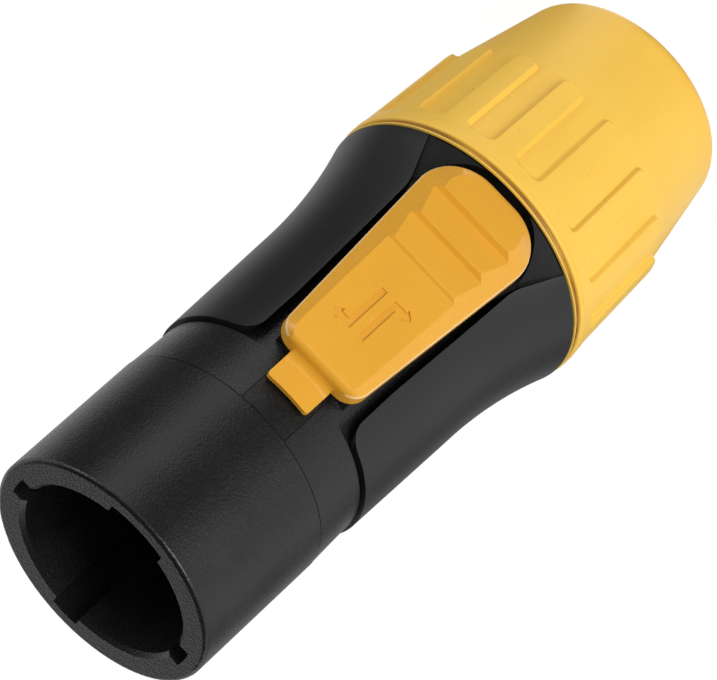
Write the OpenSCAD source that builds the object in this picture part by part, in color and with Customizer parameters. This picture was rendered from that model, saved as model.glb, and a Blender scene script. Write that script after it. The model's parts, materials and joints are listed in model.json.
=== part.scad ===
// Locking power plug: a latching circular mains plug with a screw-on cable nut.
// The axis is +Z and the mating face is at the top. The latch faces -Y, and the
// nut's rear face lies on z = 0. Heights h are measured from the axis towards -Y.

/* [Overall] */
// Length from the nut's rear face to the mating face
total_len = 85.5; // [85:0.5:90]
// Length of the rear nut
nut_len = 30.3; // [30:0.1:31]

/* [Barrel] */
// Outside radius of the mating barrel
barrel_r = 13.5; // [13.4:0.05:13.6]
// Length of the barrel in front of the grip
barrel_len = 23.8; // [23.4:0.1:24]
// Thickness of the barrel's wall around the mating socket
barrel_wall = 3.3; // [3.1:0.05:3.4]
// Depth of the mating socket
socket_depth = 21; // [19:0.5:21.5]
// Lead-in chamfer at the socket's mouth
mouth_chamfer = 0.45; // [0.2:0.05:0.6]
// Width of the wide keyway beside the latch
key_w = 6.8; // [6:0.2:7.2]
// Width of the three narrow keyways
small_key_w = 3.2; // [2.4:0.2:3.6]
// Depth of the keyways in the socket's wall
key_depth = 1.6; // [1.2:0.1:1.8]

/* [Grip] */
// How far the grip sleeve's front edge stands proud of the barrel
grip_step = 0.1; // [0:0.05:0.3]
// Radius added where the sleeve flares towards the nut
grip_flare = 2.2; // [1.8:0.1:2.4]
// Groove between the barrel and the grip sleeve
grip_gap = 0.5; // [0.3:0.1:0.8]
// Half width of the latch window at its front
window_w = 6.9; // [6.8:0.1:7.4]

/* [Latch] */
// Distance from the mating face to the tongue's tip
tongue_tip = 20.85; // [20:0.1:21.5]
// Width of the tongue
tongue_w = 5.6; // [4.8:0.2:6]
// Distance from the mating face to the latch's front wall
latch_front = 24.4; // [24.2:0.1:24.8]
// Half width of the latch at its front
latch_front_w = 5.5; // [5.1:0.1:5.7]
// Half width of the latch at its widest
latch_w = 7.05; // [6.8:0.05:7.1]
// How far the latch is pulled back to unlock
latch_travel = 0.9; // [0.6:0.1:1.2]

/* [Nut] */
// Wall thickness of the nut around the thread
nut_skirt = 4.17; // [4.1:0.01:4.4]
// Number of grip ribs around the nut
rib_count = 16; // [12:1:18]
// Width of one grip rib
rib_w = 2.7; // [2.2:0.1:3]
// Wall thickness of the cable clamp, which leaves the rest for the cable
clamp_wall = 2.5; // [2.3:0.1:3]

/* [Contacts] */
// Width of one contact blade
blade_w = 6.3; // [5:0.1:6.4]
// Thickness of one contact blade
blade_t = 1.2; // [0.8:0.1:1.4]
// Distance from the mating face to the line and neutral blades
blade_recess = 12.5; // [11:0.5:14]
// How far the earth blade stands ahead of the other two
earth_lead = 2; // [1:0.5:3]

/* [Hidden] */
$fn = 96;
eps = 0.01;

black = "#262626";
yellow = "#f7c95a";
orange = "#e9a93c";

// Stations along the axis
barrel_rear_z = total_len - barrel_len;
grip_front_z = barrel_rear_z - grip_gap;
grip_rear_z = nut_len + 0.3;
socket_floor_z = total_len - socket_depth;
carrier_shoulder_z = socket_floor_z - 2.5;
tail_z = nut_len - 16.1;

// Mould line around the barrel with a small step behind it, from where the barrel has
// draft towards the grip, and the two lines from it to the tongue's edges
seam_z = total_len - 17.5;
seam_w = 0.13;
seam_depth = 0.12;
seam_step = 0.05;
rear_draft = 0.22;
drafted_len = seam_z - barrel_rear_z;
draft_angle = atan(rear_draft / drafted_len);
seam_floor_r = barrel_r - seam_step - seam_depth;
seam_angles = [12.2, -13.7];

// Radii inside and behind the barrel, all from the barrel's own
socket_r = barrel_r - barrel_wall;
key_floor_r = socket_r + key_depth;
grip_r = barrel_r + grip_step;
core_r = barrel_r - 1.2;
tail_r = core_r - 0.1;
rear_bore_r = tail_r - 1.3;
insert_r = rear_bore_r - 0.05;
thread_gap = 0.08;
nut_r = tail_r + thread_gap + nut_skirt;
cable_gap = 0.3;
cable_r = rear_bore_r - 0.1 - clamp_wall - cable_gap;

// Contact carrier, from the socket's floor to its rear face
carrier_len = 24;
carrier_rear_z = socket_floor_z - carrier_len;
pocket_depth = 12;
blade_ring_r = 0.535 * insert_r;
block_w = 0.59 * insert_r;
block_d = 0.498 * insert_r;
block_gap = 0.05;
wire_hole_r = 0.157 * insert_r;
screw_hole_r = 0.12 * insert_r;
access_r = 0.175 * insert_r;
funnel_r = 0.277 * insert_r;
screw_z = carrier_rear_z + 5.5;
guide_t = 3;
guide_rear_z = carrier_rear_z - 0.05 - guide_t;
ring_t = 1.2;
ring_z = guide_rear_z - 0.05 - ring_t;

// O-ring groove around the carrier, and the face seal on the socket's floor
groove_w = 1.8;
groove_z = carrier_shoulder_z - 2 * groove_w;
groove_r = rear_bore_r - 1.5;
oring_r = 0.74;
face_seal_w = 1.25;
face_seal_t = 1.2;

// Latch heights above the axis
bed_drop = 0.7;
front_rise = 3.1;
peak_rise = 4.3;
bed_h = barrel_r - bed_drop;
slide_h = bed_h + 0.15;
tongue_h = barrel_r + 0.3;
block_h = barrel_r + 0.8;
bevel_h = barrel_r + 2.2;
front_top_h = barrel_r + front_rise;
peak_h = barrel_r + peak_rise;
bevel_slope = 1.25;

// Latch stations
latch_front_z = total_len - latch_front;
latch_tip_z = total_len - tongue_tip;
latch_rear_z = nut_len + latch_travel;
latch_len = latch_front_z - latch_rear_z;
corner_r = 2.3;
rim_r = 0.9;
rear_corner_r = 5.4;
tooth_pitch = 0.1388 * latch_len;
last_tooth_z = latch_rear_z + 0.1906 * latch_len;

// Rails, lug and spring under the latch
rail_len = 0.15 * latch_len;
rail_gap = 0.15;
front_rail_z = latch_front_z - 0.235 * latch_len;
rear_rail_z = latch_rear_z + 0.0735 * latch_len;
lug_t = 1.6;
lug_z = latch_rear_z + 0.305 * latch_len;
spring_len = 0.37 * latch_len;
rail_top_h = bed_h + 1.8;
lug_h = bed_h + 2.4;
spring_h = bed_h + 1.35;
spring_r = 0.85;
wire_r = 0.2;

// Nut profile
nut_band = 2.8;
nut_lip_in_r = nut_r - 0.5;
rib_len = 13;
rib_turn = 1.25;
gasket_t = 1.2;
gasket_top_z = nut_len - 0.5;
nut_cone_z = tail_z - 0.8;
nut_wall = 2.5;
entry_cone_r = cable_r + 1.5;
clamp_ring_len = 7;
thrust_t = 0.8;
seal_inset = 0.5;
seal_rear_z = nut_wall + 3;

// A ring or tube standing on height z
module ring(outer, inner, height, z = 0) {
    translate([0, 0, z])
        difference() {
            cylinder(r = outer, h = height);
            translate([0, 0, -eps])
                cylinder(r = inner, h = height + 2 * eps);
        }
}

// A post standing on height z with its top edge rounded by e
module rounded_post(r, height, e, z = 0) {
    translate([0, 0, z])
        rotate_extrude() {
            square([r - e, height]);
            square([r, height - e]);
            translate([r - e, height - e])
                circle(e);
        }
}

// Stands a flat outline drawn in x and z up from height h0 to h1 towards -Y
module towards_latch(h0, h1) {
    translate([0, -h0, 0])
        rotate([90, 0, 0])
            linear_extrude(h1 - h0)
                children();
}

// A box centred on x, between heights h0 and h1, from station z0 to z1
module latch_box(half_w, h0, h1, z0, z1) {
    towards_latch(h0, h1)
        translate([-half_w, z0])
            square([2 * half_w, z1 - z0]);
}

// A keyway along the socket wall at the given angle from the latch
module keyway(angle, w) {
    rotate([0, 0, angle])
        intersection() {
            translate([-w / 2, -key_floor_r - 1, socket_floor_z + 1.5])
                cube([w, key_floor_r, socket_depth]);
            cylinder(r = key_floor_r, h = total_len + 1);
        }
}

// One undercut rail under the latch, grown by g for the slot around it
module rail(z, length, g = 0) {
    latch_box(1.5 + g, bed_h - eps, rail_top_h - 0.6, z, z + length);
    latch_box(2.6 + g, rail_top_h - 0.8 - g, rail_top_h + g, z, z + length);
}

// The bed behind the thumb block, which fills the widened rear of the latch window
module rear_bed_outline() {
    gap = 0.2;
    for (side = [0, 1])
        mirror([side, 0])
            polygon([
                [-eps, grip_rear_z + 0.4], [window_w - 0.3 - gap, grip_rear_z + 0.4],
                [window_w + 2.5 - gap, grip_rear_z + 0.9], [window_w + 2.6 - gap, grip_rear_z + 1.1],
                [window_w + 1 - gap, grip_rear_z + 4.9], [window_w + 0.7 - gap, grip_rear_z + 5.9],
                [window_w - gap, grip_rear_z + 8.5], [-eps, grip_rear_z + 8.5]
            ]);
}

module body_shell() {
    color(black)
        difference() {
            union() {
                rounded_post(barrel_r, total_len - seam_z, 0.45, seam_z);
                translate([0, 0, barrel_rear_z])
                    cylinder(r1 = barrel_r - seam_step - rear_draft, r2 = barrel_r - seam_step,
                        h = drafted_len + eps);
                translate([0, 0, grip_rear_z - 0.6])
                    cylinder(r = core_r, h = barrel_rear_z - grip_rear_z + 0.6 + eps);
                translate([0, 0, tail_z])
                    cylinder(r = tail_r, h = grip_rear_z - tail_z);
                latch_box(4.8, rear_bore_r, bed_h, latch_rear_z - latch_travel + 0.8, grip_front_z - 1.5);
                rail(front_rail_z, rail_len);
                rail(rear_rail_z, rail_len);
                latch_box(1.1, bed_h - eps, lug_h, lug_z, lug_z + lug_t);
                towards_latch(rear_bore_r / 2, bed_h - 0.2)
                    rear_bed_outline();
            }
            translate([0, 0, carrier_shoulder_z - eps])
                cylinder(r = socket_r, h = total_len);
            translate([0, 0, total_len - mouth_chamfer])
                cylinder(r1 = socket_r, r2 = socket_r + mouth_chamfer + eps, h = mouth_chamfer + eps);
            translate([0, 0, tail_z - 1])
                cylinder(r = rear_bore_r, h = carrier_shoulder_z - tail_z + 1);
            translate([0, 0, ring_z - 0.05])
                cylinder(r = rear_bore_r + 0.55, h = ring_t + 0.1);
            ring(barrel_r + 1, seam_floor_r, seam_w, seam_z - seam_w / 2);
            for (angle = seam_angles)
                rotate([0, 0, angle])
                    translate([-seam_w / 2, -seam_floor_r, seam_z])
                        rotate([draft_angle, 0, 0])
                            translate([0, -2 * seam_w, -drafted_len - 1])
                                cube([seam_w, 2 * seam_w, drafted_len + 1]);
            keyway(0, key_w);
            for (angle = [90, 180, 270])
                keyway(angle, small_key_w);
        }
}

// Lengthwise profile of the grip sleeve: near straight, then flaring like a trumpet
module sleeve_profile() {
    flare_len = 16;
    flare_z = grip_rear_z + flare_len;
    flare_r = (flare_len * flare_len + grip_flare * grip_flare) / (2 * grip_flare);
    mid_r = grip_r + 0.3;
    e = 0.5;
    difference() {
        union() {
            translate([core_r + 0.05, grip_rear_z])
                square([mid_r + grip_flare + 1 - core_r, flare_z - grip_rear_z]);
            polygon([
                [core_r + 0.05, flare_z - eps], [mid_r, flare_z - eps],
                [grip_r, grip_front_z - e], [grip_r - e, grip_front_z - e],
                [grip_r - e, grip_front_z], [core_r + 0.05, grip_front_z]
            ]);
            translate([grip_r - e, grip_front_z - e])
                circle(e);
        }
        translate([mid_r + flare_r, flare_z])
            circle(r = flare_r, $fn = 360);
    }
}

// Outline of the latch window in the sleeve. Its front corners are rounded. It widens
// past the thumb block, and the sleeve closes in again as a thin band at the nut
module window_outline() {
    corner = 2;
    rear_w = window_w + 0.7;
    jog_z = grip_rear_z + 4.9;
    widest = window_w + 2.6;
    band_w = window_w - 0.3;
    for (side = [0, 1])
        mirror([side, 0]) {
            polygon([
                [-eps, grip_front_z + 1], [window_w, grip_front_z + 1],
                [window_w, grip_front_z - 7], [rear_w, jog_z + 1], [rear_w + 0.3, jog_z],
                [widest, grip_rear_z + 1], [widest - 0.1, grip_rear_z + 0.7],
                [band_w, grip_rear_z + 0.3], [band_w, grip_rear_z - 1], [-eps, grip_rear_z - 1]
            ]);
            difference() {
                translate([window_w - eps, grip_front_z - corner])
                    square([corner + eps, 2 * corner]);
                translate([window_w + corner, grip_front_z - corner])
                    circle(corner);
            }
        }
}

module grip_sleeve() {
    color(black)
        difference() {
            rotate_extrude()
                sleeve_profile();
            towards_latch(0, 20)
                window_outline();
        }
}

// Side profile of the latch's thumb top, as stations and heights
module latch_side_outline() {
    t3 = last_tooth_z;
    t2 = t3 + tooth_pitch;
    t1 = t2 + tooth_pitch;
    polygon([
        [latch_front_z, slide_h - 1],
        for (turn = [0:15:90])
            [latch_front_z - rim_r * (1 - cos(turn)), front_top_h - rim_r * (1 - sin(turn))],
        [t1 + 0.3, peak_h - 0.65], [t1, peak_h - 0.25],
        [t2 + 0.4, peak_h - 0.7], [t2, peak_h - 0.05],
        [t3 + 0.45, peak_h - 0.75], [t3, peak_h],
        [latch_rear_z, peak_h - 1.35], [latch_rear_z, slide_h - 1]
    ]);
}

// The thumb block: straight sides up to the bevel, then a bevel all round
module latch_block() {
    rise = peak_h + 0.2 - bevel_h;
    inset = rise * bevel_slope;
    tip_r = 1.2;
    hull()
        for (side = [-1, 1]) {
            towards_latch(block_h, bevel_h) {
                translate([side * (latch_front_w - corner_r), latch_front_z - corner_r])
                    circle(corner_r, $fn = 32);
                translate([side * (latch_w - rear_corner_r), latch_rear_z + rear_corner_r])
                    circle(rear_corner_r, $fn = 48);
            }
            towards_latch(bevel_h + rise, bevel_h + rise + 0.1) {
                translate([side * (latch_front_w - inset - tip_r), latch_front_z - tip_r])
                    circle(tip_r, $fn = 32);
                translate([side * (latch_w - rear_corner_r), latch_rear_z + rear_corner_r])
                    circle(rear_corner_r - inset, $fn = 48);
            }
        }
}

// Tongue in front of the thumb block: a plate curved about the axis, with a fillet
// that runs up into the block's front wall
module latch_tongue() {
    outer_r = block_h + 0.1;
    fillet = 1.1;
    tip_corner = 0.5;
    root_z = latch_front_z - 3;
    intersection() {
        rotate_extrude()
            difference() {
                union() {
                    translate([tongue_h, root_z])
                        square([outer_r - tongue_h, latch_tip_z - root_z]);
                    translate([tongue_h, root_z])
                        square([outer_r - tongue_h + fillet, latch_front_z + fillet - root_z]);
                }
                translate([outer_r + fillet, latch_front_z + fillet])
                    circle(fillet);
            }
        towards_latch(barrel_r - 2, front_top_h) {
            translate([-tongue_w / 2, root_z - 1])
                square([tongue_w, latch_tip_z - tip_corner - root_z + 1]);
            translate([tip_corner - tongue_w / 2, root_z])
                square([tongue_w - 2 * tip_corner, latch_tip_z - root_z + 1]);
            for (side = [-1, 1])
                translate([side * (tongue_w / 2 - tip_corner), latch_tip_z - tip_corner])
                    circle(tip_corner);
        }
    }
}

// A bent arrow: a shaft along +Z that turns towards +X and ends in a small head
module arrow_outline() {
    length = 5.9;
    line = 0.78;
    neck_x = 1.65;
    head = 0.95;
    polygon([
        [0, 0], [0, length], [neck_x, length], [neck_x, length + line / 2],
        [neck_x + head, length - line / 2], [neck_x, length - 1.5 * line],
        [neck_x, length - line], [line, length - line], [line, 0]
    ]);
}

// The latch's side profile as a slab across the plug, lifted by the given amount
module latch_side_slab(lift = 0) {
    translate([-20, -lift, 0])
        rotate([90, 0, 90])
            linear_extrude(40)
                mirror([1, 0])
                    rotate([0, 0, 90])
                        mirror([0, 1])
                            latch_side_outline();
}

module latch() {
    arrow_gap = 0.55;
    arrow_front_z = latch_front_z - 5.2;
    arrow_rear_z = latch_front_z - 11.1;
    arrow_depth = 0.2;
    color(orange)
        difference() {
            union() {
                intersection() {
                    latch_block();
                    latch_side_slab();
                }
                latch_box(4.6, slide_h, block_h + eps, latch_rear_z + 1.3, latch_front_z - 2.2);
                latch_tongue();
            }
            difference() {
                towards_latch(front_top_h - 1, peak_h + 1) {
                    translate([arrow_gap, arrow_rear_z])
                        arrow_outline();
                    translate([-arrow_gap, arrow_front_z])
                        rotate([0, 0, 180])
                            arrow_outline();
                }
                latch_side_slab(-arrow_depth);
            }
            rail(front_rail_z - rail_gap, rail_len + latch_travel + 2 * rail_gap, rail_gap);
            rail(rear_rail_z - rail_gap, rail_len + latch_travel + 2 * rail_gap, rail_gap);
            latch_box(1.35, slide_h - 1, lug_h + 0.3, lug_z - 0.1, lug_z + lug_t + spring_len);
        }
}

// Compression spring as a swept wire, standing between the body's lug and the latch
module latch_spring() {
    turns = 9;
    steps = turns * 14;
    sides = 8;
    length = spring_len - 2 * wire_r - 0.04;
    function centre(i) = let (a = 360 * turns * i / steps)
        [spring_r * cos(a), spring_r * sin(a), length * i / steps];
    points = [
        for (i = [0:steps], k = [0:sides - 1])
            let (a = 360 * turns * i / steps, b = 360 * k / sides, c = centre(i))
            [c[0] + wire_r * cos(b) * cos(a), c[1] + wire_r * cos(b) * sin(a), c[2] + wire_r * sin(b)]
    ];
    faces = concat(
        [[for (k = [0:sides - 1]) k]],
        [for (i = [0:steps - 1], k = [0:sides - 1]) [
            i * sides + k, (i + 1) * sides + k,
            (i + 1) * sides + (k + 1) % sides, i * sides + (k + 1) % sides
        ]],
        [[for (k = [sides - 1:-1:0]) steps * sides + k]]
    );
    color("silver")
        translate([0, -spring_h, lug_z + lug_t + wire_r + 0.02])
            polyhedron(points, faces);
}

// Revolved outside of the nut under the ribs: band, grooved part, cone and shoulder
module nut_profile() {
    lip_e = 0.3;
    shoulder_e = 2.6;
    cone_top = [nut_r - 1.3, nut_len - nut_band - rib_len];
    cone_foot = [nut_r - 3.25, 3.2];
    cone_tan = (cone_top[0] - cone_foot[0]) / (cone_top[1] - cone_foot[1]);
    cone_a = atan(cone_tan);
    join_z = shoulder_e * (1 - sin(cone_a));
    join_r = cone_foot[0] + (join_z - cone_foot[1]) * cone_tan;
    shoulder_r = join_r - shoulder_e * cos(cone_a);
    polygon([
        [1, 0], [shoulder_r, 0], [shoulder_r, shoulder_e], [join_r, join_z], cone_top,
        [nut_r - 0.75, nut_len - nut_band - 0.7], [nut_r - 0.15, nut_len - nut_band],
        [nut_r, nut_len - 1], [nut_r, nut_len - lip_e], [nut_r - lip_e, nut_len - lip_e],
        [nut_r - lip_e, nut_len], [1, nut_len]
    ]);
    translate([shoulder_r, shoulder_e])
        circle(shoulder_e);
    translate([nut_r - lip_e, nut_len - lip_e])
        circle(lip_e);
}

// One grip rib with drafted flanks and a rounded rear end
module nut_rib() {
    rib_front_z = nut_len - nut_band + 0.3;
    rear_z = rib_front_z - rib_len;
    top_front_r = nut_r - 0.08;
    top_rear_r = nut_r - 0.62;
    intersection() {
        rotate_extrude()
            polygon([
                [nut_r - 3, rear_z - 0.2], [top_rear_r - 0.5, rear_z], [top_rear_r - 0.12, rear_z + 0.25],
                [top_rear_r, rear_z + 0.7], [top_front_r, rib_front_z], [nut_r - 3, rib_front_z]
            ]);
        linear_extrude(nut_len)
            polygon([
                [-rib_w / 2 - 0.35, 3 - nut_r], [-rib_w / 2, 1.3 - nut_r], [-rib_w / 2 + 0.12, 0.5 - nut_r],
                [-rib_w / 2 + 0.4, -nut_r - 1], [rib_w / 2 - 0.4, -nut_r - 1],
                [rib_w / 2 - 0.12, 0.5 - nut_r], [rib_w / 2, 1.3 - nut_r], [rib_w / 2 + 0.35, 3 - nut_r]
            ]);
        towards_latch(nut_r - 3.5, nut_r + 1) {
            translate([0, rear_z + rib_w / 2])
                circle(rib_w / 2 + 0.05);
            translate([-rib_w, rear_z + rib_w / 2])
                square([2 * rib_w, rib_len]);
        }
    }
}

module rear_nut() {
    color(yellow)
        difference() {
            union() {
                rotate_extrude()
                    nut_profile();
                for (i = [0:rib_count - 1])
                    rotate([0, 0, 360 * (i + 0.5) / rib_count + rib_turn])
                        nut_rib();
            }
            translate([0, 0, gasket_top_z - gasket_t])
                cylinder(r = nut_lip_in_r, h = nut_len);
            translate([0, 0, nut_cone_z - eps])
                cylinder(r = tail_r + thread_gap, h = nut_len);
            translate([0, 0, nut_wall])
                cylinder(r1 = entry_cone_r, r2 = tail_r - 0.6, h = nut_cone_z - nut_wall);
            translate([0, 0, -1])
                cylinder(r = cable_r, h = nut_len);
        }
}

module nut_gasket() {
    color(black)
        ring(nut_lip_in_r, core_r + 0.2, gasket_t, gasket_top_z - gasket_t);
}

module thrust_ring() {
    color("ivory")
        ring(entry_cone_r - 0.15, cable_r + 0.35, thrust_t, nut_wall + 0.02);
}

// Collet that closes on the cable: a ring at its front and eight fingers behind it
module cable_clamp() {
    finger_rear_z = nut_wall + thrust_t + 0.3;
    ring_front_z = tail_z + clamp_ring_len;
    bore_r = cable_r + cable_gap;
    ring_r = rear_bore_r - 0.1;
    slit = 1.2;
    color("gainsboro")
        difference() {
            rotate_extrude()
                polygon([
                    [bore_r, finger_rear_z], [entry_cone_r - 0.25, finger_rear_z],
                    [tail_r - 1.1, nut_cone_z - 0.5], [ring_r, tail_z - 0.3],
                    [ring_r, ring_front_z], [bore_r, ring_front_z]
                ]);
            for (i = [0:3])
                rotate([0, 0, 45 * i + 22.5])
                    translate([-tail_r, -slit / 2, finger_rear_z - 1])
                        cube([2 * tail_r, slit, tail_z - finger_rear_z + 2]);
        }
}

// Rubber sleeve that seals on the cable, with three ribs in its bore
module cable_seal() {
    seal_len = tail_z + clamp_ring_len - seal_inset - seal_rear_z;
    bore_r = 0.65 * cable_r;
    rib_pitch = (seal_len - 0.8) / 4;
    color("#333333")
        difference() {
            translate([0, 0, seal_rear_z])
                cylinder(r = cable_r + cable_gap - 0.05, h = seal_len);
            translate([0, 0, seal_rear_z - 1])
                cylinder(r = bore_r - 0.6, h = seal_len + 2);
            for (i = [0:3])
                translate([0, 0, seal_rear_z + 0.8 + i * rib_pitch])
                    cylinder(r = bore_r, h = rib_pitch - 1);
        }
}

// Places a child on the blade ring: line, neutral and earth, with earth at the latch
module at_contact(angle) {
    rotate([0, 0, angle])
        translate([0, -blade_ring_r, 0])
            children();
}

module contact_carrier() {
    color("#5a5a5a")
        difference() {
            union() {
                translate([0, 0, carrier_shoulder_z + 0.01])
                    cylinder(r = socket_r - 0.05, h = socket_floor_z - carrier_shoulder_z - 0.01);
                translate([0, 0, carrier_shoulder_z - 1])
                    cylinder(r = min(socket_r, rear_bore_r) - 0.05, h = 2);
                translate([0, 0, carrier_rear_z])
                    cylinder(r = insert_r, h = carrier_shoulder_z - carrier_rear_z - 0.02);
            }
            difference() {
                translate([0, 0, groove_z])
                    cylinder(r = rear_bore_r + 1, h = groove_w);
                translate([0, 0, groove_z - 1])
                    cylinder(r = groove_r, h = groove_w + 2);
            }
            for (angle = [0, 120, 240]) {
                at_contact(angle) {
                    translate([-blade_w / 2 - 0.02, -blade_t / 2 - 0.02, carrier_rear_z])
                        cube([blade_w + 0.04, blade_t + 0.04, carrier_len + 1]);
                    translate([-block_w / 2 - block_gap, -block_d / 2 - block_gap, carrier_rear_z - 1])
                        cube([block_w + 2 * block_gap, block_d + 2 * block_gap, pocket_depth + 1]);
                    translate([0, 0, screw_z])
                        rotate([90, 0, 0])
                            cylinder(r = access_r, h = insert_r);
                }
            }
        }
}

module carrier_seal() {
    color("#8a2f22")
        translate([0, 0, groove_z + groove_w / 2])
            rotate_extrude()
                translate([groove_r + oring_r, 0])
                    circle(oring_r, $fn = 32);
}

module socket_seal() {
    color(black)
        ring(socket_r - 0.05, socket_r - 0.05 - face_seal_w, face_seal_t, socket_floor_z + 0.02);
}

// Cover behind the terminals that leads each wire into its hole
module wire_guide() {
    color("#8c8c8c")
        difference() {
            translate([0, 0, guide_rear_z])
                cylinder(r = insert_r, h = guide_t);
            for (angle = [0, 120, 240])
                at_contact(angle) {
                    translate([0, 0, guide_rear_z - 1])
                        cylinder(r = access_r, h = guide_t + 2);
                    translate([0, 0, guide_rear_z - eps])
                        cylinder(r1 = funnel_r, r2 = access_r, h = 1.2);
                }
        }
}

module retaining_ring() {
    color("silver")
        difference() {
            ring(rear_bore_r + 0.5, rear_bore_r - 1.3, ring_t, ring_z);
            translate([-2, 0, ring_z - 1])
                cube([4, 20, ring_t + 2]);
        }
}

// A flat blade with its screw terminal: wire hole from behind, screw hole from outside
module contact(angle, tip_z) {
    block_rear_z = carrier_rear_z + 0.6;
    block_top_z = carrier_rear_z + pocket_depth - block_gap;
    chamfer = blade_t / 3;
    at_contact(angle)
        difference() {
            union() {
                translate([-block_w / 2, -block_d / 2, block_rear_z])
                    cube([block_w, block_d, block_top_z - block_rear_z]);
                translate([-blade_w / 2, 0, 0])
                    rotate([90, 0, 90])
                        linear_extrude(blade_w)
                            polygon([
                                [-blade_t / 2, block_top_z - 1], [blade_t / 2, block_top_z - 1],
                                [blade_t / 2, tip_z - 2 * chamfer], [blade_t / 2 - chamfer, tip_z],
                                [chamfer - blade_t / 2, tip_z], [-blade_t / 2, tip_z - 2 * chamfer]
                            ]);
            }
            translate([0, 0, carrier_rear_z])
                cylinder(r = wire_hole_r, h = 0.75 * pocket_depth);
            translate([0, 0, screw_z])
                rotate([90, 0, 0])
                    cylinder(r = screw_hole_r, h = block_d);
        }
}

module line_contact() {
    color("gold")
        contact(120, total_len - blade_recess);
}

module neutral_contact() {
    color("gold")
        contact(240, total_len - blade_recess);
}

module earth_contact() {
    color("gold")
        contact(0, total_len - blade_recess + earth_lead);
}

module terminal_screws() {
    tip_offset = block_d / 6;
    screw_len = rear_bore_r - 0.5 - blade_ring_r - tip_offset;
    slot_w = 0.4;
    slot_depth = 0.7;
    color("silver")
        for (angle = [0, 120, 240])
            at_contact(angle)
                translate([0, -tip_offset, screw_z])
                    rotate([90, 0, 0])
                        difference() {
                            cylinder(r = screw_hole_r - 0.03, h = screw_len);
                            translate([-2, -slot_w / 2, screw_len - slot_depth])
                                cube([4, slot_w, 1]);
                        }
}

body_shell();
grip_sleeve();
latch();
latch_spring();
rear_nut();
nut_gasket();
thrust_ring();
cable_clamp();
cable_seal();
contact_carrier();
carrier_seal();
socket_seal();
wire_guide();
retaining_ring();
line_contact();
neutral_contact();
earth_contact();
terminal_screws();
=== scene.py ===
import json
import math

import bmesh
import bpy
import numpy as np
from mathutils import Matrix, Vector


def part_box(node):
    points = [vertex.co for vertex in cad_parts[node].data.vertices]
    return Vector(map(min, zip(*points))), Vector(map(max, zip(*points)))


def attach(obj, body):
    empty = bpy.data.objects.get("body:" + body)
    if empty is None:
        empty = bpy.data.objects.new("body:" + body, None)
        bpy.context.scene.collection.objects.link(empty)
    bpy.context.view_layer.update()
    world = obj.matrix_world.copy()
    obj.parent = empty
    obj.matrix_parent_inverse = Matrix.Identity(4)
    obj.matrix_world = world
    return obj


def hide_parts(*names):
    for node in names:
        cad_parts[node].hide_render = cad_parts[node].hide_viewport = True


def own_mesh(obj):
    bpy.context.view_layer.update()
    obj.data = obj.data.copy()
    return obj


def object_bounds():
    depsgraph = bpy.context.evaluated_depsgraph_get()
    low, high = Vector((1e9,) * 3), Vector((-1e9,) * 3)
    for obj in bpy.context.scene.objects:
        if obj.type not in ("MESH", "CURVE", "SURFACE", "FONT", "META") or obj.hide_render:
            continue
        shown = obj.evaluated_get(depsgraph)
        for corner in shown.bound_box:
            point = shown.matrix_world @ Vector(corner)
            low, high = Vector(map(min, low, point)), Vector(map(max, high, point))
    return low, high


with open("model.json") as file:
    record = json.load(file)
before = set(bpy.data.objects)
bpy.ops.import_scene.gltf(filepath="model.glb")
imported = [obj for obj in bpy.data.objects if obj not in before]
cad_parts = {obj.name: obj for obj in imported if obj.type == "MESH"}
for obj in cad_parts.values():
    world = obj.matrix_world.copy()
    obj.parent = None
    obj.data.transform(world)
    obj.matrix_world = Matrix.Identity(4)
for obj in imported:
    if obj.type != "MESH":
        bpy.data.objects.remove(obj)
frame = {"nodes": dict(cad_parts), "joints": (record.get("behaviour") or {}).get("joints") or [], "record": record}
cad_low, cad_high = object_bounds()

MM = 0.001
IMAGE_WIDTH = 717
FOCAL_PIXELS = 4200


# Camera, lamps, world and floor -----------------------------------------------------------


def direction(azimuth, elevation):
    """Unit vector from the plug towards a place at that azimuth and elevation, in degrees."""
    a = math.radians(azimuth)
    e = math.radians(elevation)
    return Vector((math.sin(a) * math.cos(e), -math.cos(a) * math.cos(e), math.sin(e)))


def make_camera():
    """A long lens in front of the latch, rolled so that the plug lies on the diagonal."""
    azimuth, elevation = -2.6, 31.84
    roll = math.radians(132.29)
    target = Vector((-0.17, 0.0, 45.69)) * MM
    distance = 429.7 * MM
    back = direction(azimuth, elevation)
    right = (-back).cross(Vector((0, 0, 1))).normalized()
    up = back.cross(right)
    up = up * math.cos(roll) + right * math.sin(roll)
    right = up.cross(back)
    data = bpy.data.cameras.new("camera")
    data.sensor_width = 36
    data.lens = FOCAL_PIXELS / IMAGE_WIDTH * data.sensor_width
    data.clip_start = 0.01
    camera = bpy.data.objects.new("camera", data)
    bpy.context.scene.collection.objects.link(camera)
    axes = Matrix((right, up, back)).transposed()
    camera.matrix_world = Matrix.Translation(target + back * distance) @ axes.to_4x4()
    bpy.context.scene.camera = camera


def area_light(name, azimuth, elevation, distance, size, irradiance):
    """A soft lamp facing the plug's middle; irradiance 1 lights white that faces it to white."""
    middle = (cad_low + cad_high) / 2
    towards = direction(azimuth, elevation)
    data = bpy.data.lights.new(name, "AREA")
    data.shape = "RECTANGLE"
    data.size, data.size_y = size
    data.energy = irradiance * math.pi * math.pi * distance ** 2
    lamp = bpy.data.objects.new(name, data)
    bpy.context.scene.collection.objects.link(lamp)
    lamp.location = middle + towards * distance
    lamp.rotation_mode = "QUATERNION"
    lamp.rotation_quaternion = towards.to_track_quat("Z", "Y")
    lamp.visible_camera = False


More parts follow.
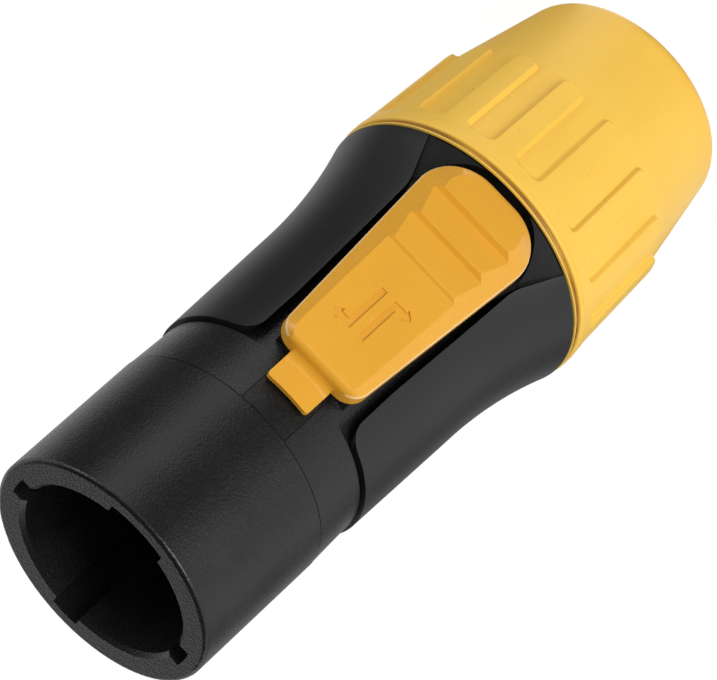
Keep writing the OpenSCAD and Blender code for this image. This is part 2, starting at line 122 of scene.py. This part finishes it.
class Graph:
    """A node tree with short calls: inputs are values, or (node, socket) pairs to link."""

    def __init__(self, tree):
        self.tree = tree
        tree.nodes.clear()

    def add(self, kind, inputs=None, **settings):
        node = self.tree.nodes.new("ShaderNode" + kind)
        for key, value in settings.items():
            setattr(node, key, value)
        for key, value in (inputs or {}).items():
            if isinstance(value, tuple) and hasattr(value[0], "outputs"):
                self.tree.links.new(value[0].outputs[value[1]], node.inputs[key])
            else:
                node.inputs[key].default_value = value
        return node

    def math(self, operation, a, b=0.0, clamp=False):
        return self.add("Math", {0: a, 1: b}, operation=operation, use_clamp=clamp), 0

    def span(self, value, start, end, low=0.0, high=1.0, smooth=False):
        """Takes start to low and end to high, along a straight or an S-shaped line."""
        line = "SMOOTHSTEP" if smooth else "LINEAR"
        inputs = {0: value, 1: start, 2: end, 3: low, 4: high}
        return self.add("MapRange", inputs, interpolation_type=line), 0

    def blend(self, share, first, second):
        """Mixes two colours; share 0 gives the first and 1 the second."""
        return self.add("Mix", {0: share, 6: first, 7: second}, data_type="RGBA"), 2


def seen_directly(graph):
    """1 for rays that show the background itself, in the picture or mirrored, and else 0."""
    path = graph.add("LightPath")
    either = graph.math("MAXIMUM", (path, "Is Camera Ray"), (path, "Is Glossy Ray"))
    return graph.math("MAXIMUM", either, (path, "Is Transmission Ray"))


def make_world(strength, overhead, mirrored_overhead):
    """Even light from the sides, falling off to the share `overhead` of it at the ceiling, and
    in reflections to `mirrored_overhead`, from lower down."""
    light_fall = (0.45, 0.9)
    mirrored_fall = (0.1, 0.68)
    white = (1, 1, 1, 1)
    world = bpy.data.worlds.new("studio")
    world.use_nodes = True
    graph = Graph(world.node_tree)
    place = graph.add("SeparateXYZ", {0: (graph.add("TexCoord"), "Generated")})
    level = graph.span((place, 2), *light_fall, 1.0, overhead, smooth=True)
    mirrored = graph.span((place, 2), *mirrored_fall, 1.0, mirrored_overhead, smooth=True)
    lit = {"Color": white, "Strength": graph.math("MULTIPLY", level, strength)}
    light = graph.add("Background", lit)
    backdrop = graph.add("Background", {"Color": white, "Strength": mirrored})
    mix = graph.add("MixShader", {0: seen_directly(graph), 1: (light, 0), 2: (backdrop, 0)})
    graph.add("OutputWorld", {"Surface": (mix, 0)})
    bpy.context.scene.world = world


def mirrored_level(graph):
    """How bright the floor looks in reflections, by direction from the plug: dim, with bright
    sectors like a studio's reflectors. Other rays find it evenly bright."""
    dim_level = 0.07
    # Sectors in degrees from -Y, which the latch faces, towards -X: where each one begins,
    # where it is full, where it starts to fall and where it ends; then its brightness.
    sectors = [
        (-66, -46, -34, -12, 1.18),
        (8, 46, 96, 128, 0.72),
        (-181, -180, -130, -100, 0.55),
        (120, 150, 180, 181, 0.3),
    ]
    place = graph.add("SeparateXYZ", {0: (graph.add("TexCoord"), "Object")})
    ahead = graph.math("MULTIPLY", (place, 1), -1.0)
    aside = graph.math("MULTIPLY", (place, 0), -1.0)
    turn = graph.math("MULTIPLY", graph.math("ARCTAN2", aside, ahead), 180 / math.pi)
    level = dim_level
    for begin, full, past, end, gain in sectors:
        rising = graph.span(turn, begin, full, smooth=True)
        falling = graph.span(turn, past, end, 1.0, 0.0, smooth=True)
        sector = graph.math("MULTIPLY", graph.math("MULTIPLY", rising, falling), gain)
        level = graph.math("ADD", level, sector)
    glossy = (graph.add("LightPath"), "Is Glossy Ray")
    less = graph.math("MULTIPLY", graph.math("SUBTRACT", 1.0, level), glossy)
    return graph.math("SUBTRACT", 1.0, less)


def make_floor():
    """Pale floor: white where it is seen directly, with the plug's soft shadow kept."""
    half_size = 4.0
    clearance = 0.02 * MM
    shaded_paper, lit_paper = (0.80, 0.80, 0.80, 1), (0.84, 0.84, 0.84, 1)
    glow_strength, glow_share = 1.12, 0.85
    mesh = bpy.data.meshes.new("floor")
    signs = [(-1, -1), (1, -1), (1, 1), (-1, 1)]
    mesh.from_pydata([(x * half_size, y * half_size, 0) for x, y in signs], [], [(0, 1, 2, 3)])
    floor = bpy.data.objects.new("floor", mesh)
    floor.location.z = cad_low.z - clearance
    bpy.context.scene.collection.objects.link(floor)
    material = bpy.data.materials.new("floor_paper")
    material.use_nodes = True
    graph = Graph(material.node_tree)
    grain = graph.add("TexNoise", {"Scale": 900.0, "Detail": 2.0})
    paper = graph.add("BsdfDiffuse", {"Color": graph.blend((grain, 0), shaded_paper, lit_paper)})
    strength = graph.math("MULTIPLY", mirrored_level(graph), glow_strength)
    glow = graph.add("Emission", {"Color": (1, 1, 1, 1), "Strength": strength})
    share = graph.math("MULTIPLY", seen_directly(graph), glow_share)
    mix = graph.add("MixShader", {0: share, 1: (paper, 0), 2: (glow, 0)})
    graph.add("OutputMaterial", {"Surface": (mix, 0)})
    mesh.materials.append(material)


# Materials --------------------------------------------------------------------------------

PALE_SPECK = {"apart_mm": 2.6, "size": 0.035, "rare": 0.75, "colour": (0.35, 0.35, 0.34)}
DARK_SPECK = {"apart_mm": 2.2, "size": 0.035, "rare": 0.8, "colour": (0.42, 0.24, 0.05)}

PLASTICS = {
    "textured_black": {
        "dark": (0.005, 0.005, 0.005), "light": (0.014, 0.014, 0.014),
        "roughness": 0.28, "grain_mm": 0.24, "grain_height_mm": 0.05,
    },
    "bed_black": {
        "dark": (0.005, 0.005, 0.005), "light": (0.016, 0.016, 0.016),
        "roughness": 0.5, "grain_mm": 0.24, "grain_height_mm": 0.06, "specular": 0.14,
    },
    "grip_black": {
        "dark": (0.008, 0.008, 0.008), "light": (0.012, 0.012, 0.012),
        "roughness": 0.38, "grain_mm": 0.10, "grain_height_mm": 0.010, "specular": 0.42,
        "specks": PALE_SPECK, "patch_mm": 12.0,
    },
    "latch_orange": {
        "dark": (0.79, 0.380, 0.030), "light": (0.85, 0.415, 0.037),
        "roughness": 0.24, "grain_mm": 0.12, "grain_height_mm": 0.004, "specular": 0.5,
        # Pale orange on the rim: a painted highlight along the latch's lower edge.
        "patch_mm": 8.0, "painted_light_colour": (0.97, 0.68, 0.33),
    },
    "nut_yellow": {
        "dark": (0.93, 0.565, 0.080), "light": (0.98, 0.625, 0.098),
        "roughness": 0.40, "grain_mm": 0.14, "grain_height_mm": 0.006,
        # Dark brown in the mouth's groove: painted shade.
        "specks": DARK_SPECK, "patch_mm": 9.0, "painted_light_colour": (0.30, 0.13, 0.012),
    },
    "seal_rubber": {
        "dark": (0.010, 0.010, 0.011), "light": (0.018, 0.018, 0.019),
        "roughness": 0.62, "grain_mm": 0.3, "grain_height_mm": 0.03, "specular": 0.25,
    },
    "natural_plastic": {
        "dark": (0.62, 0.58, 0.48), "light": (0.72, 0.69, 0.60),
        "roughness": 0.5, "grain_mm": 0.2, "grain_height_mm": 0.01,
    },
    "clamp_grey": {
        "dark": (0.36, 0.37, 0.38), "light": (0.45, 0.46, 0.47),
        "roughness": 0.48, "grain_mm": 0.2, "grain_height_mm": 0.01,
    },
    "carrier_grey": {
        "dark": (0.035, 0.036, 0.038), "light": (0.055, 0.056, 0.058),
        "roughness": 0.5, "grain_mm": 0.25, "grain_height_mm": 0.02,
    },
}

METALS = {
    "spring_steel": {
        "dark": (0.42, 0.42, 0.43), "light": (0.62, 0.62, 0.63), "roughness": 0.3,
    },
    "contact_brass": {
        "dark": (0.60, 0.42, 0.16), "light": (0.80, 0.62, 0.30), "roughness": 0.28,
    },
    "screw_steel": {
        "dark": (0.45, 0.45, 0.46), "light": (0.66, 0.66, 0.67), "roughness": 0.32,
    },
}


def plastic(
    name, dark, light, roughness, grain_mm, grain_height_mm,
    specular=0.4, specks=None, patch_mm=6.0, painted_light_colour=None,
):
    """Moulded plastic: colour mottled between two shades and fine grain, with optional specks,
    and an optional painted highlight or painted shade colour where the mesh has its "rim" attribute."""
    patch_share, grain_share = 0.6, 0.4
    mottle = (0.32, 0.68)
    grain_range = (0.3, 0.7)
    rough_swing = 0.06
    painted_light_gain = 1.8
    material = bpy.data.materials.new(name)
    material.use_nodes = True
    graph = Graph(material.node_tree)
    place = (graph.add("TexCoord"), "Object")
    patch_inputs = {"Vector": place, "Scale": 1 / (patch_mm * MM), "Detail": 3.0, "Roughness": 0.6}
    grain_inputs = {"Vector": place, "Scale": 1 / (grain_mm * MM), "Detail": 2.0, "Roughness": 0.55}
    patches = (graph.add("TexNoise", patch_inputs), 0)
    grain = (graph.add("TexNoise", grain_inputs), 0)
    broad = graph.math("MULTIPLY", patches, patch_share)
    fine = graph.math("MULTIPLY", grain, grain_share)
    both = graph.math("ADD", broad, fine)
    colour = graph.blend(graph.span(both, *mottle), (*dark, 1), (*light, 1))
    if specks:
        scale = 1 / (specks["apart_mm"] * MM)
        cells = graph.add("TexVoronoi", {"Vector": place, "Scale": scale})
        near = graph.math("LESS_THAN", (cells, "Distance"), specks["size"])
        rare = graph.math("GREATER_THAN", (cells, "Color"), specks["rare"])
        colour = graph.blend(graph.math("MULTIPLY", near, rare), colour, (*specks["colour"], 1))
    # Painted light: where the mesh has its "rim" attribute a second colour is mixed in patches, as a painted
    # highlight on the latch's rim and painted shade in the nut's groove.
    if painted_light_colour:
        rim = (graph.add("Attribute", attribute_name="rim"), "Fac")
        patchy = graph.math("MULTIPLY", patches, painted_light_gain)
        painted_light_share = graph.math("MULTIPLY", rim, patchy, clamp=True)
        colour = graph.blend(painted_light_share, colour, (*painted_light_colour, 1))
    rough = graph.span(grain, *grain_range, roughness - rough_swing, roughness + rough_swing)
    height = {"Height": grain, "Strength": 1.0, "Distance": grain_height_mm * MM}
    surface = {
        "Base Color": colour,
        "Roughness": rough,
        "Normal": (graph.add("Bump", height), 0),
        "Specular IOR Level": specular,
    }
    graph.add("OutputMaterial", {"Surface": (graph.add("BsdfPrincipled", surface), 0)})
    return material


def metal(name, dark, light, roughness):
    """Drawn or plated metal with fine lengthwise scratches and slight tarnish."""
    scratch_scale = (9000.0, 9000.0, 300.0)
    scratch_range = (0.3, 0.7)
    rough_swing = 0.1
    scratch_depth = 0.004 * MM
    material = bpy.data.materials.new(name)
    material.use_nodes = True
    graph = Graph(material.node_tree)
    place = (graph.add("TexCoord"), "Object")
    tarnish = (graph.add("TexNoise", {"Vector": place, "Scale": 350.0, "Detail": 4.0}), 0)
    stretched = (graph.add("Mapping", {"Vector": place, "Scale": scratch_scale}), 0)
    scratches = (graph.add("TexNoise", {"Vector": stretched, "Scale": 1.0, "Detail": 2.0}), 0)
    low, high = roughness - rough_swing, roughness + rough_swing
    height = {"Height": scratches, "Strength": 0.6, "Distance": scratch_depth}
    surface = {
        "Base Color": graph.blend(tarnish, (*dark, 1), (*light, 1)),
        "Roughness": graph.span(scratches, *scratch_range, low, high),
        "Normal": (graph.add("Bump", height), 0),
        "Metallic": 1.0,
    }
    graph.add("OutputMaterial", {"Surface": (graph.add("BsdfPrincipled", surface), 0)})
    return material


def make_materials():
    """All materials by name: one for each slot of the record, and bed_black."""
    made = {name: plastic(name, **look) for name, look in PLASTICS.items()}
    made.update({name: metal(name, **look) for name, look in METALS.items()})
    return made


def dress_cad_nodes():
    """Gives every CAD node its slot of the record and that slot's material."""
    for part in frame["record"].get("subparts", []):
        node = frame["nodes"][part["node"]]
        node.data.materials.clear()
        node.data.materials.append(materials[part["material_slot"]])


# Mesh helpers -----------------------------------------------------------------------------


def piece_from_mesh(bm, name, node, body, slot, smooth_angle=35):
    """A new piece from a bmesh: it rides on a body and stands for a CAD node, if one is named.
    Edges sharper than smooth_angle stay sharp."""
    mesh = bpy.data.meshes.new(name)
    bmesh.ops.recalc_face_normals(bm, faces=bm.faces)
    for face in bm.faces:
        face.smooth = True
    for edge in bm.edges:
        edge.smooth = edge.calc_face_angle(0.0) < math.radians(smooth_angle)
    bm.to_mesh(mesh)
    bm.free()
    piece = bpy.data.objects.new(name, mesh)
    bpy.context.scene.collection.objects.link(piece)
    mesh.materials.append(materials[slot])
    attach(piece, body)
    if node:
        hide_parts(node)
    return piece


def cleaned_copy(node):
    """The CAD node's own mesh with its flat faces joined up."""
    join_distance = 0.002 * MM
    flat_angle = math.radians(0.8)
    bm = bmesh.new()
    bm.from_mesh(frame["nodes"][node].data)
    bmesh.ops.remove_doubles(bm, verts=bm.verts, dist=join_distance)
    bmesh.ops.dissolve_limit(bm, angle_limit=flat_angle, verts=bm.verts, edges=bm.edges)
    return bm


def round_edges(bm, radius, least_angle, chosen, segments=3, clamp=False):
    """Rounds over the chosen edges sharper than least_angle; gives the faces of the rounding."""
    limit = math.radians(least_angle)
    sharp = [e for e in bm.edges if e.is_manifold and e.calc_face_angle(0.0) > limit and chosen(e)]
    made = bmesh.ops.bevel(
        bm, geom=sharp, offset=radius * MM, segments=segments, profile=0.5,
        affect="EDGES", clamp_overlap=clamp,
    )
    return set(made["faces"])


def ramp(value, points):
    """Straight-line interpolation through (place, height) points."""
    places, heights = zip(*points)
    return np.interp(value, places, heights)


def smooth_step(t):
    t = np.clip(t, 0, 1)
    return t * t * (3 - 2 * t)


def smooth_min(a, b, k):
    """The smaller of a and b, with the corner between them rounded over the width k."""
    h = np.clip(0.5 + 0.5 * (b - a) / k, 0, 1)
    return b * (1 - h) + a * h - k * h * (1 - h)


def join_rings(bm, low, high):
    """Quads between two closed rings of the same length."""
    count = len(low)
    for i in range(count):
        j = (i + 1) % count
        bm.faces.new((low[i], low[j], high[j], high[i]))


def closed_skin(rows):
    """A bmesh from rings of points in mm, each joined to the next, and the last to the first."""
    bm = bmesh.new()
    rings = [[bm.verts.new(Vector(point) * MM) for point in row] for row in rows]
    for low, high in zip(rings, rings[1:] + rings[:1]):
        join_rings(bm, low, high)
    return bm


def mark_rim(piece, is_rim):
    """Marks the points that take their material's painted highlight or painted shade colour."""
    rim = piece.data.attributes.new("rim", "FLOAT", "POINT")
    for vertex in piece.data.vertices:
        rim.data[vertex.index].value = float(is_rim(vertex.co))


# Rear nut ---------------------------------------------------------------------------------

# From the band round the mouth to the gasket's seat: how far in from the outer radius, and
# how far behind the nut's front end, in mm.
NUT_HAIRLINE = [(0.0, 1.9), (0.0, 1.38), (0.06, 1.32), (0.06, 1.26), (0.0, 1.2), (0.0, 0.92)]
NUT_GROOVE = [
    (0.05, 0.82), (0.14, 0.76), (0.42, 0.7), (0.46, 0.64), (0.46, 0.32), (0.42, 0.26),
    (0.2, 0.22), (0.14, 0.17),
]
NUT_LIP = [(0.12, 0.1), (0.16, 0.02), (0.22, 0.0), (0.45, 0.0), (0.5, 0.05), (0.5, 1.7)]

# From the thread's rear end through the clamp's cone to the cable entry: (radius, z) in mm.
NUT_INSIDE = [
    (12.28, 13.4), (11.6, 13.4), (9.5, 2.5), (8.0, 2.5), (8.0, 0.4), (8.12, 0.12), (8.4, 0.0),
]


def nut_angles(count, turned):
    """Angles round the nut, close together on the ribs' flanks, and how far each one is from
    its rib's middle, in pitches."""
    flank = [-0.253 + 0.009 * step for step in range(8)]
    half = [-0.5, -0.42, -0.34, -0.29, -0.268] + flank + [-0.175, -0.14, -0.08]
    pitch = half + [0.0] + [-share for share in reversed(half[1:])]
    offsets = np.tile(pitch, count)
    centres = np.repeat(np.arange(count) + 0.5, len(pitch))
    return (centres + offsets) * 2 * math.pi / count + math.radians(turned), offsets


def rib_share(arc, z, rib_w, rib_rear, band_z):
    """1 on top of a rib or the band, 0 on the nut's floor, and between them on the flanks, for
    points at height z and the distance arc from their rib's middle."""
    corner = 0.75
    band_fillet = 0.9
    flank = 0.16
    aside = np.maximum(arc - (rib_w / 2 - corner), 0.0)
    beyond = max(rib_rear + corner - z, 0.0)
    to_rib = np.hypot(aside, beyond) - corner
    to_band = np.full_like(arc, band_z - z)
    away = smooth_min(to_rib, to_band, band_fillet)
    return 1 - smooth_step((away + flank) / (2 * flank))


def make_nut():
    """The rear nut as one closed skin: soft-edged ribs outside, cone, rounded shoulder and lip."""
    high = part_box("rear_nut")[1]
    length, radius = high.z / MM, high.x / MM
    rib_count, rib_w, rib_rear, turned = 16, 2.75, 14.75, 1.25
    band_z = length - 3.05
    cone_top_r, cone_top_z = radius - 1.3, length - 15.8
    foot_r, foot_z = radius - 3.25, 3.2
    shoulder, shoulder_steps = 2.6, 9
    seat_depth, bore_r = 1.7, NUT_INSIDE[0][0]

    slope = (cone_top_r - foot_r) / (cone_top_z - foot_z)
    tilt = math.atan(slope)
    join_z = shoulder * (1 - math.sin(tilt))
    join_r = foot_r + (join_z - foot_z) * slope
    shoulder_r = join_r - shoulder * math.cos(tilt)
    floor_line = [
        (join_z, join_r), (cone_top_z, cone_top_r),
        (band_z, radius - 0.72), (length, radius - 0.6),
    ]
    top_line = [
        (rib_rear, radius - 0.66), (band_z, radius - 0.12),
        (length - 1.0, radius), (length, radius),
    ]
    angles, offsets = nut_angles(rib_count, turned)
    arc = 2 * math.pi * (radius - 0.9) / rib_count * np.abs(offsets)

    def row(radii, z):
        radii = np.broadcast_to(radii, angles.shape)
        return [(r * math.sin(a), -r * math.cos(a), z) for r, a in zip(radii, angles)]

    def ribbed_row(z):
        floor_r = ramp(z, floor_line)
        rise = np.maximum(ramp(z, top_line), floor_r) - floor_r
        return row(floor_r + rise * rib_share(arc, z, rib_w, rib_rear, band_z), z)

    rows = []
    for step in range(shoulder_steps + 1):
        turn = math.radians(-90) + (math.radians(90) - tilt) * step / shoulder_steps
        z = shoulder + shoulder * math.sin(turn)
        rows.append(row(shoulder_r + shoulder * math.cos(turn), z))
    stations = np.concatenate([
        np.linspace(join_z + 1.2, rib_rear - 0.6, 6),
        np.linspace(rib_rear - 0.35, rib_rear + 1.9, 14),
        np.linspace(rib_rear + 3.0, band_z - 1.8, 6),
        np.linspace(band_z - 1.1, band_z + 0.7, 12),
    ])
    rows += [ribbed_row(z) for z in stations]
    mouth = NUT_HAIRLINE + NUT_GROOVE + NUT_LIP
    rows += [row(radius - inset, length - behind) for inset, behind in mouth]
    inside = [(bore_r, length - seat_depth)] + NUT_INSIDE
    rows += [row(r, z) for r, z in inside]
    piece = piece_from_mesh(closed_skin(rows), "rear_nut_skin", "rear_nut", "nut", "nut_yellow")

    def in_groove(place):
        behind = length - place.z / MM
        inset = radius - place.xy.length / MM
        return 0.24 < behind < 0.72 and 0.3 < inset < 0.48

    # The groove's points get the nut's dark brown colour: painted shade in the groove.
    mark_rim(piece, in_groove)
    return piece


# Grip sleeve ------------------------------------------------------------------------------

SLEEVE_INNER_R = 12.35
# Length of the latch window's wide part at the sleeve's rear end
WINDOW_REAR_LEN = 4.9


def sleeve_ends():
    low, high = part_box("grip_sleeve")
    return low.z / MM, high.z / MM


def window_half_width(z, rear_z, front_z):
    """Half width of the latch window in the sleeve at height z, in mm."""
    width, corner = 6.9, 2.0
    rear_width = width + 0.7
    jog_z = rear_z + WINDOW_REAR_LEN
    line = [
        (rear_z, width + 3.0), (jog_z, rear_width + 0.3), (jog_z + 1, rear_width),
        (front_z - 7, width), (front_z, width),
    ]
    half = float(ramp(z, line))
    into = max(z - (front_z - corner), 0.0)
    return half + corner - math.sqrt(max(corner ** 2 - into ** 2, 0.0))


def sleeve_radius(z, rear_z, front_z):
    """Outer radius of the sleeve at height z, in mm: near straight, then flared like a trumpet."""
    front_r, mid_r = 13.6, 13.9
    flare, flare_len = 2.4, 16.0
    curve_r = (flare_len ** 2 + flare ** 2) / (2 * flare)
    into = rear_z + flare_len - z
    if into > 0:
        return mid_r + curve_r - math.sqrt(curve_r ** 2 - into ** 2)
    return float(ramp(z, [(rear_z + flare_len, mid_r), (front_z, front_r)]))


def make_sleeve():
    """The grip sleeve: a flared shell swept round to the latch window's edges, rims rounded."""
    columns = 120
    rounding, segments, least_angle = 0.45, 5, 40
    corner = 2.0
    corner_angles = (0, 15, 30, 42, 54, 65, 75, 83, 90)
    rear_z, front_z = sleeve_ends()
    stations = np.concatenate([
        [rear_z],
        np.linspace(rear_z + 1, rear_z + WINDOW_REAR_LEN, 6),
        np.linspace(rear_z + WINDOW_REAR_LEN + 0.5, front_z - corner - 0.6, 26),
        [front_z - corner + corner * math.sin(math.radians(a)) for a in corner_angles],
    ])
    bm = bmesh.new()
    outer, inner = [], []
    for z in stations:
        half = window_half_width(z, rear_z, front_z)
        for rows, r in ((outer, sleeve_radius(z, rear_z, front_z)), (inner, SLEEVE_INNER_R)):
            start = math.asin(min(half / r, 0.999))
            turns = np.linspace(start, 2 * math.pi - start, columns + 1)
            places = [Vector((r * math.sin(t), -r * math.cos(t), z)) * MM for t in turns]
            rows.append([bm.verts.new(place) for place in places])
    close_shell(bm, outer, inner)
    bmesh.ops.recalc_face_normals(bm, faces=bm.faces)

    def outside(edge):
        return min(v.co.xy.length for v in edge.verts) > (SLEEVE_INNER_R + 0.2) * MM

    round_edges(bm, rounding, least_angle, outside, segments, clamp=True)
    return piece_from_mesh(bm, "grip_sleeve_skin", "grip_sleeve", "housing", "grip_black")


def close_shell(bm, outer, inner):
    """Faces between and around two grids of points of the same size: skins, sides and ends."""
    last_row, last_column = len(outer) - 1, len(outer[0]) - 1
    for k in range(last_row):
        for i in range(last_column):
            bm.faces.new((outer[k][i], outer[k][i + 1], outer[k + 1][i + 1], outer[k + 1][i]))
            bm.faces.new((inner[k][i], inner[k + 1][i], inner[k + 1][i + 1], inner[k][i + 1]))
        for i in (0, last_column):
            bm.faces.new((outer[k][i], outer[k + 1][i], inner[k + 1][i], inner[k][i]))
    for k in (0, last_row):
        for i in range(last_column):
            bm.faces.new((outer[k][i], outer[k][i + 1], inner[k][i + 1], inner[k][i]))


# Latch, its spring and the bed beside it --------------------------------------------------


def latch_travel():
    """How far the latch slides back, in mm."""
    slide = next(joint for joint in frame["joints"] if joint["name"] == "latch_slide")
    return max(abs(limit) for limit in slide["range_m"]) / MM


def latch_half_width(z):
    """Half width in mm that the latch sweeps at height z, over its whole travel."""
    travel = latch_travel()
    mesh = frame["nodes"]["latch"].data
    points = [vertex.co / MM for vertex in mesh.vertices]
    widest = 0.0
    for edge in mesh.edges:
        a, b = sorted((points[i] for i in edge.vertices), key=lambda point: point.z)
        for shift in (0.0, travel / 2, travel):
            if a.z <= z + shift <= b.z:
                share = (z + shift - a.z) / max(b.z - a.z, 1e-6)
                widest = max(widest, abs(a.x + (b.x - a.x) * share))
    return widest


def make_rear_bed():
    """The body's raised bed on both sides of the latch's rear end, nearly as high as the sleeve."""
    foot_h = 12.65
    latch_gap, sleeve_gap = 0.35, 0.12
    below_sleeve = 0.4
    least = 0.05
    rows, across = 22, 9
    rear_z, front_z = sleeve_ends()
    stations = np.linspace(rear_z - 0.15, rear_z + WINDOW_REAR_LEN, rows)
    bm = bmesh.new()
    for side in (-1, 1):
        top, bottom = [], []
        for z in stations:
            near = latch_half_width(z) + latch_gap
            far = window_half_width(z, rear_z, front_z) - sleeve_gap
            radius = sleeve_radius(z, rear_z, front_z) - below_sleeve
            places = np.linspace(near, max(far, near + least), across)
            tops = [max(math.sqrt(max(radius ** 2 - x ** 2, 0.0)), foot_h + least) for x in places]
            raised = [Vector((side * x, -h, z)) * MM for x, h in zip(places, tops)]
            flat = [Vector((side * x, -foot_h, z)) * MM for x in places]
            top.append([bm.verts.new(place) for place in raised])
            bottom.append([bm.verts.new(place) for place in flat])
        close_shell(bm, top, bottom)
    piece = piece_from_mesh(bm, "rear_bed", None, "housing", "textured_black")
    piece.data.materials[0] = materials["bed_black"]
    return piece


def make_latch():
    """The latch's own shape with small rounded edges, and its rim marked for a painted highlight along it."""
    rim_rounding, tooth_rounding = 0.2, 0.12
    least_angle = 14
    rim_h = -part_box("latch")[0].y / MM - 2.1
    tooth_h = rim_h + 0.5
    tooth_w = 5
    bm = cleaned_copy("latch")

    def on_rim(edge):
        return all(abs(-v.co.y / MM - rim_h) < 0.02 for v in edge.verts)

    def on_tooth(edge):
        a, b = (v.co for v in edge.verts)
        return min(-a.y, -b.y) > tooth_h * MM and abs(a.x - b.x) > tooth_w * MM

    rounding = round_edges(bm, rim_rounding, least_angle, on_rim, segments=4)
    # The rim's rounding is marked for the material's pale orange: a painted highlight along it.
    rim = bm.verts.layers.float.new("rim")
    for vertex in bm.verts:
        vertex[rim] = float(all(face in rounding for face in vertex.link_faces))
    round_edges(bm, tooth_rounding, least_angle, on_tooth)
    piece = piece_from_mesh(bm, "latch_skin", "latch", "slide_latch", "latch_orange", 30)
    flat = piece.modifiers.new("flat_faces", "WEIGHTED_NORMAL")
    flat.mode = "FACE_AREA"
    flat.keep_sharp = True
    return piece


def make_spring():
    """The latch's spring, as a piece of its own riding on the housing."""
    bm = bmesh.new()
    bm.from_mesh(frame["nodes"]["latch_spring"].data)
    piece = piece_from_mesh(bm, "latch_spring_coil", "latch_spring", "housing", "spring_steel")
    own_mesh(piece)
    return piece


# The scene --------------------------------------------------------------------------------

make_camera()
make_world(strength=0.72, overhead=0.1, mirrored_overhead=0.04)
make_floor()
area_light("key", azimuth=-38, elevation=10, distance=0.6, size=(0.34, 0.26), irradiance=0.58)
area_light("fill", azimuth=72, elevation=12, distance=0.6, size=(0.3, 0.26), irradiance=0.2)

materials = make_materials()
dress_cad_nodes()

make_nut()
make_sleeve()
make_rear_bed()
make_latch()
make_spring()

bpy.context.scene.view_settings.view_transform = "Standard"
